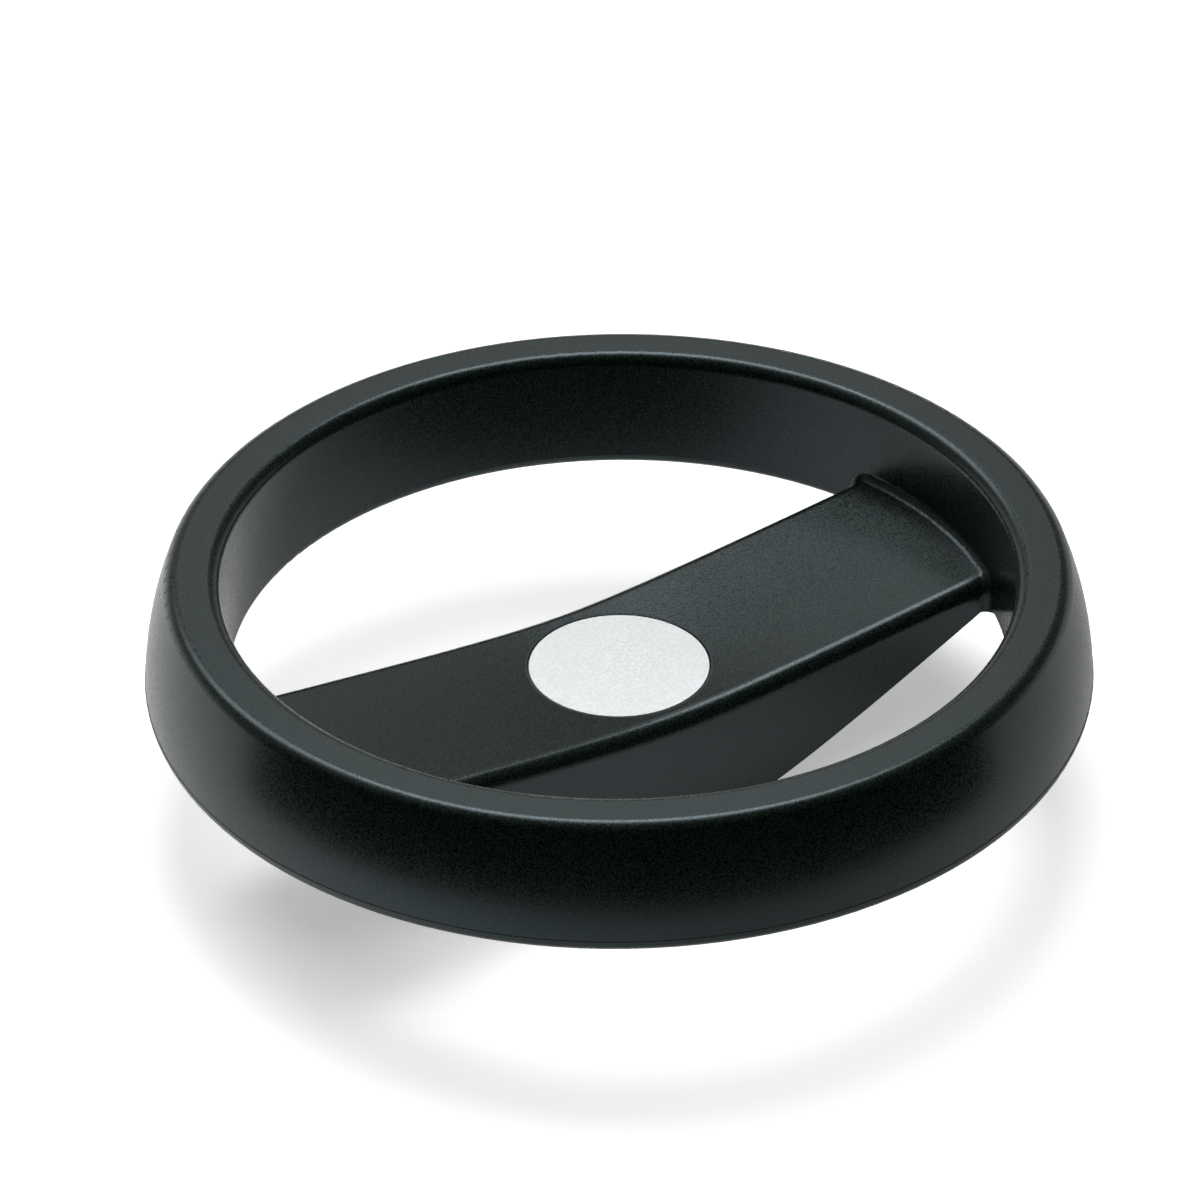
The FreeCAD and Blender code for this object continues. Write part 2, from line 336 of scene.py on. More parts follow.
@dataclass(frozen=True)
class TurnedSteel:
    """Lathe-turned steel: fine rings from the tool, and a thin dark film of oil."""

    dark: Colour = (0.16, 0.155, 0.15)
    bright: Colour = (0.42, 0.42, 0.42)
    tone_band: Band = (0.35, 0.7)
    ring_pitch: float = 0.00018
    ring_depth: float = 0.000006
    film_size: float = 0.004
    sheen_low: float = 0.28
    sheen_high: float = 0.42
    sheen_band: Band = (0.3, 0.7)

    def material(self) -> bpy.types.Material:
        """Build the finish.

        Returns:
            Its material.
        """
        material, ink, shader = new_material("turned_steel")
        film = ink.noise(self.film_size, detail=4.0)
        axes = ink.add("ShaderNodeSeparateXYZ")
        ink.wire(ink.place(), axes.inputs[0])
        across = ink.maths("ADD", ink.maths("MULTIPLY", axes.outputs["X"], axes.outputs["X"]),
                           ink.maths("MULTIPLY", axes.outputs["Y"], axes.outputs["Y"]))
        travel = ink.maths("ADD", ink.maths("SQRT", across), axes.outputs["Z"])
        rings = ink.maths("SINE", ink.maths("MULTIPLY", travel, 2 * math.pi / self.ring_pitch))
        shader.inputs["Metallic"].default_value = 1.0
        tone = ink.ramp(film, self.tone_band, 0.0, 1.0)
        ink.wire(ink.blend(tone, self.dark, self.bright), shader.inputs["Base Color"])
        sheen = ink.ramp(film, self.sheen_band, self.sheen_low, self.sheen_high)
        ink.wire(sheen, shader.inputs["Roughness"])
        height = ink.maths("MULTIPLY", ink.maths("ADD", rings, 1.0), 0.5)
        ink.wire(ink.bump(height, self.ring_depth), shader.inputs["Normal"])
        return material


@dataclass(frozen=True)
class Stretch:
    """One stretch of a turned outline, by radius and height: straight, or an arc with a centre."""

    start: Vector
    end: Vector
    centre: Vector | None = None

    def holds(self, spot: Vector, reach: float = 6e-6, overrun: float = 0.01) -> bool:
        """Whether a point of the outline's plane lies on this stretch.

        Args:
            spot: its radius and height.
            reach: how far off it may lie, in metres.
            overrun: how far past an end it may lie, as a share of the stretch.

        Returns:
            True where it does.
        """
        along = self.end - self.start
        share = (spot - self.start).dot(along) / along.length_squared
        if not -overrun <= share <= 1 + overrun:
            return False
        if self.centre is None:
            return (spot - self.start - along * share).length < reach
        return abs((spot - self.centre).length - (self.start - self.centre).length) < reach

    def facing(self, spot: Vector) -> Vector:
        """The stretch's normal, in one of its two senses.

        Args:
            spot: the radius and height of a point on it.

        Returns:
            The normal, in the outline's plane.
        """
        if self.centre is None:
            along = (self.end - self.start).normalized()
            return Vector((along.y, -along.x))
        return (spot - self.centre).normalized()


@dataclass(frozen=True)
class WheelOutline:
    """The turned outlines that the moulding's rim and spokes follow, in metres."""

    rim_radius: float = 0.080
    rim_lift: float = 0.024
    rim_height: float = 0.0219
    foot_width: float = 0.0143
    outer_lean: float = 0.0046
    inner_lean: float = 0.00095
    crown: float = 0.0009
    top_outer_round: float = 0.0026
    top_inner_round: float = 0.0024
    foot_outer_round: float = 0.0022
    foot_inner_round: float = 0.0019
    parting_height: float = 0.0024
    parting_step: float = 0.00008
    flat_radius: float = 0.016
    hub_face: float = 0.0254
    spoke_end_top: float = 0.0309
    hub_radius: float = 0.018
    spoke_hub_height: float = 0.0009
    spoke_rise: float = 0.0246
    spoke_half_width: float = 0.01975
    edge_round: float = 0.0028

    @property
    def parting_level(self) -> float:
        """Height of the line where the mould halves meet."""
        return self.rim_lift + self.parting_height

    @property
    def inner_foot_radius(self) -> float:
        """Radius of the rim's inner wall at its foot."""
        return self.rim_radius - self.foot_width

    @property
    def spoke_slope(self) -> float:
        """Rise of the spokes' top faces for each metre outwards."""
        return (self.spoke_end_top - self.hub_face) / (self.inner_foot_radius - self.flat_radius)

    def spoke_top(self, radius: float) -> float:
        """Height of the spokes' top faces at a distance from the axis."""
        return self.hub_face + self.spoke_slope * (radius - self.flat_radius)

    def edge_round_normal(self, spot: Vector, reach: float = 3e-5, steps: int = 4) -> Vector | None:
        """Find the normal on the round along a spoke's top edge.

        The round is the path of a ball that touches the spoke's side and its top cone from inside.

        Args:
            spot: a point of the moulding.
            reach: how far off the round it may lie.
            steps: how often the ball's place is improved.

        Returns:
            The normal, or nothing where the point isn't on the round.
        """
        if abs(spot.y) < self.spoke_half_width - self.edge_round - reach:
            return None
        middle = math.copysign(self.spoke_half_width - self.edge_round, spot.y)
        slope = self.spoke_slope
        drop = self.edge_round * math.hypot(1.0, slope)
        along = spot.x
        for _ in range(steps):
            radius = math.hypot(along, middle)
            level = self.spoke_top(radius) - drop
            along = spot.x + slope * along / radius * (spot.z - level)
        ball = Vector((along, middle, self.spoke_top(math.hypot(along, middle)) - drop))
        away = spot - ball
        if abs(away.length - self.edge_round) > reach or away.z < -reach:
            return None
        return away.normalized()

    def rim(self) -> list[Stretch]:
        """Draw the rim's outline.

        Returns:
            Its stretches in order.
        """
        top = self.rim_lift + self.rim_height
        foot_inner = Vector((self.inner_foot_radius, self.rim_lift))
        foot_outer = Vector((self.rim_radius, self.rim_lift))
        lip = Vector((self.rim_radius, self.parting_level))
        wall_foot = lip - Vector((self.parting_step, 0.0))
        top_outer = Vector((self.rim_radius - self.outer_lean, top))
        top_inner = Vector((self.inner_foot_radius + self.inner_lean, top))
        inner_foot = self.rounded(top_inner, foot_inner, foot_outer, self.foot_inner_round)
        outer_foot = self.rounded(foot_inner, foot_outer, lip, self.foot_outer_round)
        inner_top = self.rounded(top_outer, top_inner, foot_inner, self.top_inner_round)
        wall, shoulder = self.wall_and_shoulder(wall_foot, top_outer)
        return [
            inner_foot, Stretch(inner_foot.end, outer_foot.start), outer_foot, Stretch(outer_foot.end, lip),
            Stretch(lip, wall_foot), wall, shoulder, Stretch(shoulder.end, inner_top.start), inner_top,
            Stretch(inner_top.end, inner_foot.start),
        ]

    def spokes(self) -> list[Stretch]:
        """Draw the cones of the spokes.

        Returns:
            That of their top faces, and that of their lower edges.
        """
        lower = Vector((self.hub_radius, self.spoke_hub_height))
        lower_end = Vector((self.inner_foot_radius, self.spoke_hub_height + self.spoke_rise))
        upper = Vector((self.flat_radius, self.hub_face))
        upper_end = Vector((self.rim_radius, self.spoke_top(self.rim_radius)))
        return [Stretch(upper, upper_end), Stretch(lower, lower_end)]

    @staticmethod
    def rounded(before: Vector, corner: Vector, after: Vector, size: float) -> Stretch:
        """Round a corner between two straight stretches.

        Args:
            before: a point on the first.
            corner: where they meet.
            after: a point on the second.
            size: the round's radius.

        Returns:
            The arc that touches both.
        """
        back, on = (before - corner).normalized(), (after - corner).normalized()
        half_angle = back.angle(on) / 2
        reach = size / math.tan(half_angle)
        centre = corner + (back + on).normalized() * (size / math.sin(half_angle))
        return Stretch(corner + back * reach, corner + on * reach, centre)

    def wall_and_shoulder(self, foot: Vector, top: Vector) -> tuple[Stretch, Stretch]:
        """Draw the crowned outer wall and the round between it and the flat top.

        Args:
            foot: the wall's lower end.
            top: where the wall would meet the top without a round.

        Returns:
            The wall and the round.
        """
        chord = top - foot
        radius = (chord.length_squared / 4 + self.crown ** 2) / (2 * self.crown)
        outwards = Vector((chord.y, -chord.x)).normalized()
        centre = (foot + top) / 2 - outwards * (radius - self.crown)
        size = self.top_outer_round
        level = top.y - size
        middle = Vector((centre.x + math.sqrt((radius - size) ** 2 - (level - centre.y) ** 2), level))
        wall_end = centre + (middle - centre).normalized() * radius
        return Stretch(foot, wall_end, centre), Stretch(wall_end, middle + Vector((0.0, size)), middle)


def placed(name: str, data: bpy.types.ID) -> bpy.types.Object:
    """Put something in the scene.

    Args:
        name: the object's name.
        data: its mesh, lamp or camera.

    Returns:
        The object.
    """
    thing = bpy.data.objects.new(name, data)
    bpy.context.scene.collection.objects.link(thing)
    return thing


def welded_copy(node: str, name: str) -> bpy.types.Object:
    """Copy a CAD node's loose triangles into one welded mesh.

    Args:
        node: the CAD node.
        name: the new piece's name.

    Returns:
        The new piece, not yet on a body.
    """
    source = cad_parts[node]
    mesh = source.data.copy()
    mesh.name = name
    mesh.transform(source.matrix_world)
    soup = bmesh.new()
    soup.from_mesh(mesh)
    bmesh.ops.remove_doubles(soup, verts=soup.verts, dist=WELD_DISTANCE)
    soup.to_mesh(mesh)
    soup.free()
    return placed(name, mesh)


@dataclass
class SmoothSkin:
    """Gives a welded mesh the normals of the turned surfaces and flats that it stands for."""

    outline: WheelOutline
    corner_angle: float = math.radians(40)
    broad_corner_angle: float = math.radians(20)
    flat_angle: float = math.radians(0.3)
    broad_area: float = 4e-6
    broad_weight: float = 1000.0
    turned_match: float = 0.9
    round_match: float = 0.8

    def settle(self, mesh: bpy.types.Mesh) -> None:
        """Mark the corners, work out a normal for each face corner and store them.

        Args:
            mesh: the welded mesh.
        """
        soup = bmesh.new()
        soup.from_mesh(mesh)
        for face in soup.faces:
            face.smooth = True
        soup.faces.index_update()
        areas = self.flat_areas(soup)
        for edge in soup.edges:
            broad = min(areas[face.index] for face in edge.link_faces) > self.broad_area
            limit = self.broad_corner_angle if broad else self.corner_angle
            edge.smooth = len(edge.link_faces) == 2 and edge.calc_face_angle() < limit
        stretches = self.outline.rim() + self.outline.spokes()
        on_stretch = [self.stretch_of(face, stretches) for face in soup.faces]
        normals: dict[bmesh.types.BMLoop, Vector] = {}
        for vertex in soup.verts:
            for corner in vertex.link_loops:
                if corner not in normals:
                    fan = self.fan(corner)
                    normal = self.fan_normal(vertex, fan, areas, on_stretch)
                    normals.update((member, normal) for member in fan)
        ordered = [tuple(normals[corner]) for face in soup.faces for corner in face.loops]
        soup.to_mesh(mesh)
        soup.free()
        mesh.normals_split_custom_set(ordered)

    def flat_areas(self, soup: bmesh.types.BMesh) -> list[float]:
        """Measure the flat patches that the faces make up.

        Args:
            soup: the mesh.

        Returns:
            For each face, the area of its patch.
        """
        areas = [0.0] * len(soup.faces)
        seen: set[int] = set()
        for first in soup.faces:
            if first.index in seen:
                continue
            seen.add(first.index)
            patch = [first]
            for face in patch:
                for edge in face.edges:
                    if len(edge.link_faces) != 2 or edge.calc_face_angle() > self.flat_angle:
                        continue
                    for other in edge.link_faces:
                        if other.index not in seen:
                            seen.add(other.index)
                            patch.append(other)
            total = sum(face.calc_area() for face in patch)
            for face in patch:
                areas[face.index] = total
        return areas

    def stretch_of(self, face: bmesh.types.BMFace, stretches: list[Stretch]) -> Stretch | None:
        """Find the turned stretch that a face belongs to.

        Args:
            face: the face.
            stretches: all turned stretches.

        Returns:
            The one that holds all of its corners and faces its way, if there is one.
        """
        spots = [Vector((vertex.co.xy.length, vertex.co.z)) for vertex in face.verts]
        for stretch in stretches:
            if all(stretch.holds(spot) for spot in spots):
                around = face.calc_center_median().xy.normalized()
                facing = stretch.facing(sum(spots, Vector((0.0, 0.0))) / len(spots))
                match = (around * facing.x).to_3d().dot(face.normal) + facing.y * face.normal.z
                if abs(match) > self.turned_match:
                    return stretch
        return None

    @staticmethod
    def fan(corner: bmesh.types.BMLoop) -> list[bmesh.types.BMLoop]:
        """Gather the face corners at one vertex that no sharp edge parts.

        Args:
            corner: the first of them.

        Returns:
            All of them.
        """
        members = [corner]
        for member in members:
            for edge in (member.edge, member.link_loop_prev.edge):
                if not edge.smooth:
                    continue
                for face in edge.link_faces:
                    for other in face.loops:
                        if other.vert is corner.vert and other not in members:
                            members.append(other)
        return members

    def fan_normal(self, vertex: bmesh.types.BMVert, fan: list[bmesh.types.BMLoop],
                   areas: list[float], on_stretch: list[Stretch | None]) -> Vector:
        """Work out a fan's normal: that of its turned surface, or else the mean in which large flats win.

        Args:
            vertex: the fan's middle.
            fan: its face corners.
            areas: for each face, the area of its flat patch.
            on_stretch: for each face, its turned stretch if it has one.

        Returns:
            The normal.
        """
        mean = Vector((0.0, 0.0, 0.0))
        for corner in fan:
            area = areas[corner.face.index]
            share = area * self.broad_weight if area > self.broad_area else area
            mean += corner.face.normal * (share * corner.calc_angle())
        mean.normalize()
        rounded = self.outline.edge_round_normal(vertex.co)
        if rounded is not None and rounded.dot(mean) > self.round_match:
            return rounded
        turned = [corner.face for corner in fan if on_stretch[corner.face.index] is not None]
        if not turned:
            return mean
        widest = max(turned, key=lambda face: areas[face.index])
        spot = Vector((vertex.co.xy.length, vertex.co.z))
        facing = on_stretch[widest.index].facing(spot)
        around = vertex.co.xy.normalized()
        normal = Vector((around.x * facing.x, around.y * facing.x, facing.y)).normalized()
        return normal if normal.dot(widest.normal) > 0 else -normal


class GrowingTree:
    """A Geometry Nodes tree with named inputs, and the plain mesh that it grows into."""

    def __init__(self, name: str) -> None:
        """Start an empty tree.

        Args:
            name: the tree's name, also that of the piece.
        """
        self.name = name
        self.tree = bpy.data.node_groups.new(name, "GeometryNodeTree")
        self.ink = NodeInk(self.tree)
        self.tree.interface.new_socket("Geometry", in_out="OUTPUT", socket_type="NodeSocketGeometry")
        self.group = self.ink.add("NodeGroupInput")
        self.values: dict[str, object] = {}

    def takes(self, name: str, kind: str, value: object) -> Socket:
        """Add a named input.

        Args:
            name: what it sets.
            kind: Float, Int or Material.
            value: what this piece gets.

        Returns:
            The socket that carries it in the tree.
        """
        socket = self.tree.interface.new_socket(name, in_out="INPUT", socket_type="NodeSocket" + kind)
        self.values[socket.identifier] = value
        return self.group.outputs[name]

    def upright(self, height: Socket) -> Socket:
        """Make a vector straight up.

        Args:
            height: its length.

        Returns:
            The vector's output.
        """
        node = self.ink.add("ShaderNodeCombineXYZ")
        self.ink.wire(height, node.inputs["Z"])
        return node.outputs["Vector"]

    def moved(self, geometry: Socket, offset: Socket) -> Socket:
        """Move each point of a geometry.

        Args:
            geometry: the geometry.
            offset: the way that it goes.

        Returns:
            The moved geometry.
        """
        node = self.ink.add("GeometryNodeSetPosition")
        self.ink.wire(geometry, node.inputs["Geometry"])
        self.ink.wire(offset, node.inputs["Offset"])
        return node.outputs["Geometry"]

    def grow(self, geometry: Socket, material: bpy.types.Material) -> bpy.types.Object:
        """Close the tree and turn its result into a plain mesh.

        Args:
            geometry: the tree's last result.
            material: the piece's finish.

        Returns:
            The finished piece, without a modifier.
        """
        ink = self.ink
        real = ink.add("GeometryNodeRealizeInstances")
        dressed = ink.add("GeometryNodeSetMaterial")
        ink.wire(geometry, real.inputs["Geometry"])
        ink.wire(real.outputs["Geometry"], dressed.inputs["Geometry"])
        ink.wire(self.takes("Material", "Material", material), dressed.inputs["Material"])
        ink.wire(dressed.outputs["Geometry"], ink.add("NodeGroupOutput").inputs["Geometry"])
        seed = placed(self.name + "_seed", bpy.data.meshes.new(self.name + "_seed"))
        modifier = seed.modifiers.new("grown", "NODES")
        modifier.node_group = self.tree
        for identifier, value in self.values.items():
            modifier[identifier] = value
        mesh = bpy.data.meshes.new_from_object(seed.evaluated_get(bpy.context.evaluated_depsgraph_get()))
        mesh.name = self.name
        bpy.data.objects.remove(seed)
        return placed(self.name, mesh)


def finished_with(piece: bpy.types.Object, material: bpy.types.Material) -> None:
    """Give a piece one material all over."""
    piece.data.materials.clear()
    piece.data.materials.append(material)


@dataclass
class Moulding:
    """The black moulding: rim, spokes and hub shell."""

    outline: WheelOutline = field(default_factory=WheelOutline)
    finish: GrainedMoulding = field(default_factory=GrainedMoulding)

    def build(self) -> bpy.types.Object:
        """Make the smooth moulding that stands for the CAD node.

        Returns:
            The moulding.
        """
        piece = welded_copy("wheel_body", "moulding")
        SmoothSkin(self.outline).settle(piece.data)
        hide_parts("wheel_body")
        return piece

    def dress(self, piece: bpy.types.Object) -> bpy.types.Material:
        """Give the moulding its finish and its body.

        Args:
            piece: the moulding.

        Returns:
            The finish, which the small marks on the moulding share.
        """
        material = self.finish.material()
        finished_with(piece, material)
        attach(piece, BODY)
        return material


@dataclass
class CoverDisc:
    """The thin satin disc in the hub's face, turned by a Geometry Nodes tree."""

    radius: float = 0.0155
    foot: float = 0.0241
    thickness: float = 0.0012
    bevel: float = 0.00025
    sides: int = 180
    finish: SatinDisc = field(default_factory=SatinDisc)

    def build(self) -> bpy.types.Object:
        """Grow the disc: a cylinder whose upper edge is drawn in.

        Returns:
            The disc.
        """
        growing = GrowingTree("cover_disc")
        ink = growing.ink
        radius = growing.takes("Radius", "Float", self.radius)
        bevel = growing.takes("Bevel", "Float", self.bevel)
        body = ink.maths("SUBTRACT", growing.takes("Thickness", "Float", self.thickness), bevel)
        drum = ink.add("GeometryNodeMeshCylinder", fill_type="NGON")
        ink.wire(growing.takes("Sides", "Int", self.sides), drum.inputs["Vertices"])
        ink.wire(radius, drum.inputs["Radius"])
        ink.wire(body, drum.inputs["Depth"])
        raised = ink.add("GeometryNodeExtrudeMesh", mode="FACES")
        ink.wire(drum.outputs["Mesh"], raised.inputs["Mesh"])
        ink.wire(drum.outputs["Top"], raised.inputs["Selection"])
        ink.wire(bevel, raised.inputs["Offset Scale"])
        drawn = ink.add("GeometryNodeScaleElements", domain="FACE")
        ink.wire(raised.outputs["Mesh"], drawn.inputs["Geometry"])
        ink.wire(raised.outputs["Top"], drawn.inputs["Selection"])
        ink.wire(ink.maths("DIVIDE", ink.maths("SUBTRACT", radius, bevel), radius), drawn.inputs["Scale"])
        middle = ink.maths("ADD", growing.takes("Foot", "Float", self.foot), ink.maths("DIVIDE", body, 2.0))
        lifted = growing.moved(drawn.outputs["Geometry"], growing.upright(middle))
        piece = growing.grow(lifted, self.finish.material())
        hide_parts("hub_cap")
        return piece

    def dress(self, piece: bpy.types.Object) -> None:
        """Put the disc on its body."""
        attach(piece, BODY)


@dataclass
class SeamBead:
    """The hair-fine flash along the line where the mould halves meet, as a Geometry Nodes sweep."""

    outline: WheelOutline = field(default_factory=WheelOutline)
    thickness: float = 0.00006
    unevenness: float = 0.00003
    wave: float = 0.004
    steps: int = 540
    sides: int = 6
    seed: float = 3.0

    def build(self, material: bpy.types.Material) -> bpy.types.Object:
        """Grow the bead on the shelf of the parting line, with a slightly uneven height.

        Args:
            material: the moulding's finish.

        Returns:
            The bead.
        """
        growing = GrowingTree("seam_bead")
        ink = growing.ink
        thickness = growing.takes("Thickness", "Float", self.thickness)
        path = ink.add("GeometryNodeCurvePrimitiveCircle", mode="RADIUS")
        ink.wire(growing.takes("Steps", "Int", self.steps), path.inputs["Resolution"])
        radius = self.outline.rim_radius - self.thickness - self.unevenness
        ink.wire(growing.takes("Radius", "Float", radius), path.inputs["Radius"])
        noise = ink.add("ShaderNodeTexNoise", noise_dimensions="4D")
        ink.wire(growing.takes("Seed", "Float", self.seed), noise.inputs["W"])
        ink.wire(ink.maths("DIVIDE", 1.0, growing.takes("Wave", "Float", self.wave)), noise.inputs["Scale"])
        swing = ink.maths("MULTIPLY", ink.maths("SUBTRACT", noise.outputs["Fac"], 0.5),
                          growing.takes("Unevenness", "Float", self.unevenness))
        level = ink.maths("ADD", growing.takes("Level", "Float", self.outline.parting_level), swing)
        laid = growing.moved(path.outputs["Curve"], growing.upright(level))
        section = ink.add("GeometryNodeCurvePrimitiveCircle", mode="RADIUS")
        ink.wire(growing.takes("Sides", "Int", self.sides), section.inputs["Resolution"])
        ink.wire(thickness, section.inputs["Radius"])
        swept = ink.add("GeometryNodeCurveToMesh")
        ink.wire(laid, swept.inputs["Curve"])
        ink.wire(section.outputs["Curve"], swept.inputs["Profile Curve"])
        return growing.grow(swept.outputs["Mesh"], material)

    def dress(self, piece: bpy.types.Object) -> None:
        """Put the bead on its body."""
        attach(piece, BODY)


@dataclass
class EjectorMarks:
    """The low round witness marks that the mould's ejector pins leave under the rim."""

    outline: WheelOutline = field(default_factory=WheelOutline)
    ring_radius: float = 0.0727
    count: int = 12
    radius: float = 0.0025
    height: float = 0.00006
    bite: float = 0.0002
    sides: int = 40

    def build(self, material: bpy.types.Material) -> bpy.types.Object:
        """Grow the marks, one disc on each point of a ring under the rim's flat foot.

        Args:
            material: the moulding's finish.

        Returns:
            All the marks in one piece.
        """
        growing = GrowingTree("ejector_marks")
        ink = growing.ink
        height = growing.takes("Height", "Float", self.height)
        bite = growing.takes("Bite", "Float", self.bite)
        ring = ink.add("GeometryNodeMeshCircle", fill_type="NONE")
        ink.wire(growing.takes("Count", "Int", self.count), ring.inputs["Vertices"])
        ink.wire(growing.takes("Ring radius", "Float", self.ring_radius), ring.inputs["Radius"])
        mark = ink.add("GeometryNodeMeshCylinder", fill_type="NGON")
        ink.wire(growing.takes("Sides", "Int", self.sides), mark.inputs["Vertices"])
        ink.wire(growing.takes("Mark radius", "Float", self.radius), mark.inputs["Radius"])
        ink.wire(ink.maths("ADD", height, bite), mark.inputs["Depth"])
        level = ink.maths("ADD", growing.takes("Foot level", "Float", self.outline.rim_lift),
                          ink.maths("DIVIDE", ink.maths("SUBTRACT", bite, height), 2.0))
        ring_up = growing.moved(ring.outputs["Mesh"], growing.upright(level))
        marks = ink.add("GeometryNodeInstanceOnPoints")
        ink.wire(ring_up, marks.inputs["Points"])
        ink.wire(mark.outputs["Mesh"], marks.inputs["Instance"])
        return growing.grow(marks.outputs["Instances"], material)

    def dress(self, piece: bpy.types.Object) -> None:
        """Put the marks on their body."""
        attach(piece, BODY)


@dataclass
class HubBush:
    """The steel bush, which keeps its CAD shape."""

    finish: TurnedSteel = field(default_factory=TurnedSteel)

    def dress(self) -> bpy.types.Object:
        """Give the bush its finish.

        Returns:
            The CAD object.
        """
        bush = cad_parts["hub_bush"]
        finished_with(bush, self.finish.material())
        return bush


@dataclass
class Studio:
    """The table, the lamps, the room round them and the black card under the lens, which puts a painted
    shade into the wheel's gloss.

    The room's lights are painted by direction: each fades between two heights, or two leans along a
    level axis, of a direction one long. Azimuths count to the right, from straight behind the wheel.
    """

    table_half_width: float = 6.0
    paper: Colour = (0.92, 0.92, 0.92)
    paper_roughness: float = 0.9
    paper_glow: float = 0.42
    mirror_glow: float = 0.10
    mirror_shade: float = 0.45
    shade_azimuth: float = math.radians(115)
    shade_band: Band = (-0.02, 0.10)
    box_distance: float = 1.6
    box_elevation: float = math.radians(63.5)
    box_size: tuple[float, float] = (0.85, 0.62)
    box_power: float = 10.6
    ceiling_height: float = 1.8
    ceiling_size: float = 2.4
    ceiling_power: float = 26.0
    strip_strength: float = 1.75
    strip_aside: Band = (0.05, 0.12)
    strip_behind: Band = (0.2, 0.5)
    strip_foot: Band = (0.42, 0.60)
    strip_head: Band = (0.60, 0.66)
    strip_above: float = 0.1
    window_strength: float = 3.6
    window_azimuth: float = math.radians(-34)
    window_elevation: float = math.radians(47)
    window_angles: Band = (math.radians(15), math.radians(7))
    side_strength: float = 0.12
    side_behind: Band = (-0.45, 0.15)
    side_leftward: Band = (-0.6, 0.6)
    side_shares: Band = (0.4, 1.6)
    horizon_strength: float = 0.8
    horizon_behind: Band = (0.1, 0.5)
    horizon_head: Band = (0.05, 0.34)
    room_strength: float = 0.02
    card_radius: float = 0.165
    card_height: float = 0.14
    card_spread: float = math.radians(75)
    card_steps: int = 24
    card_black: Colour = (0.002, 0.002, 0.002)

    @staticmethod
    def aim(azimuth: float, elevation: float = 0.0) -> Vector:
        """Give a direction from the wheel.

        Args:
            azimuth: its azimuth.
            elevation: its angle over the table.

        Returns:
            The direction, one long.
        """
        turn = LENS_AZIMUTH - azimuth
        level = math.cos(elevation)
        return Vector((-math.sin(turn) * level, math.cos(turn) * level, math.sin(elevation)))

    @staticmethod
    def sheet(name: str, corners: list[tuple[float, ...]], faces: list[tuple[int, ...]]) -> bpy.types.Object:
        """Make a plain sheet of the studio.

        Args:
            name: its name.
            corners: its corners.
            faces: the corners of each face.

        Returns:
            The sheet.
        """
        mesh = bpy.data.meshes.new(name)
        mesh.from_pydata(corners, [], faces)
        return placed(name, mesh)

    def table(self) -> None:
        """A wide pale table; the lens and the gloss of the wheel see its paper lifted towards white, and the
        gloss also sees a painted shade over the paper towards the right.
        """
        half = self.table_half_width
        corners = [(-half, -half, 0.0), (half, -half, 0.0), (half, half, 0.0), (-half, half, 0.0)]
        table = self.sheet("table", corners, [(0, 1, 2, 3)])
        material, ink, shader = new_material("table_paper")
        shader.inputs["Base Color"].default_value = (*self.paper, 1.0)
        shader.inputs["Roughness"].default_value = self.paper_roughness
        shader.inputs["Specular IOR Level"].default_value = 0.0
        white = ink.add("ShaderNodeEmission")
        ink.wire(ink.seen_rays(self.paper_glow, self.mirror_glow), white.inputs["Strength"])
        # Painted shade: for the wheel's gloss, the paper towards the right is mixed down towards black
        rightward = ink.across(ink.place(), self.aim(self.shade_azimuth))
        shade = ink.add("ShaderNodeMixShader")
        ink.wire(ink.maths("MULTIPLY", ink.seen_rays(0.0, self.mirror_shade),
                           ink.ramp(rightward, self.shade_band, 0.0, 1.0)), shade.inputs["Fac"])
        ink.wire(shader.outputs["BSDF"], shade.inputs[1])
        lifted = ink.add("ShaderNodeAddShader")
        ink.wire(shade.outputs["Shader"], lifted.inputs[0])
        ink.wire(white.outputs["Emission"], lifted.inputs[1])
        output = next(node for node in material.node_tree.nodes if node.type == "OUTPUT_MATERIAL")
        ink.wire(lifted.outputs["Shader"], output.inputs["Surface"])
        finished_with(table, material)

    def lamp(self, name: str, size: tuple[float, float], power: float,
             aim: Vector, distance: float) -> bpy.types.Object:
        """Hang one soft lamp that faces the wheel.

        Args:
            name: the lamp's name.
            size: its width and height.
            power: its watts.
            aim: the direction from the wheel to the lamp.
            distance: how far off it hangs.

        Returns:
            The lamp.
        """
        data = bpy.data.lights.new(name, "AREA")
        data.shape = "RECTANGLE"
        data.size, data.size_y = size
        data.energy = power
        lamp = placed(name, data)
        lamp.location = aim * distance
        lamp.rotation_euler = aim.to_track_quat("Z", "Y").to_euler()
        return lamp

    def lamps(self) -> None:
        """The softbox behind the wheel, and a wide dim ceiling that its gloss doesn't show."""
        towards_box = self.aim(0.0, self.box_elevation)
        self.lamp("softbox", self.box_size, self.box_power, towards_box, self.box_distance)
        ceiling = self.lamp("ceiling", (self.ceiling_size, self.ceiling_size), self.ceiling_power,
                            Vector((0.0, 0.0, 1.0)), self.ceiling_height)
        ceiling.visible_glossy = False

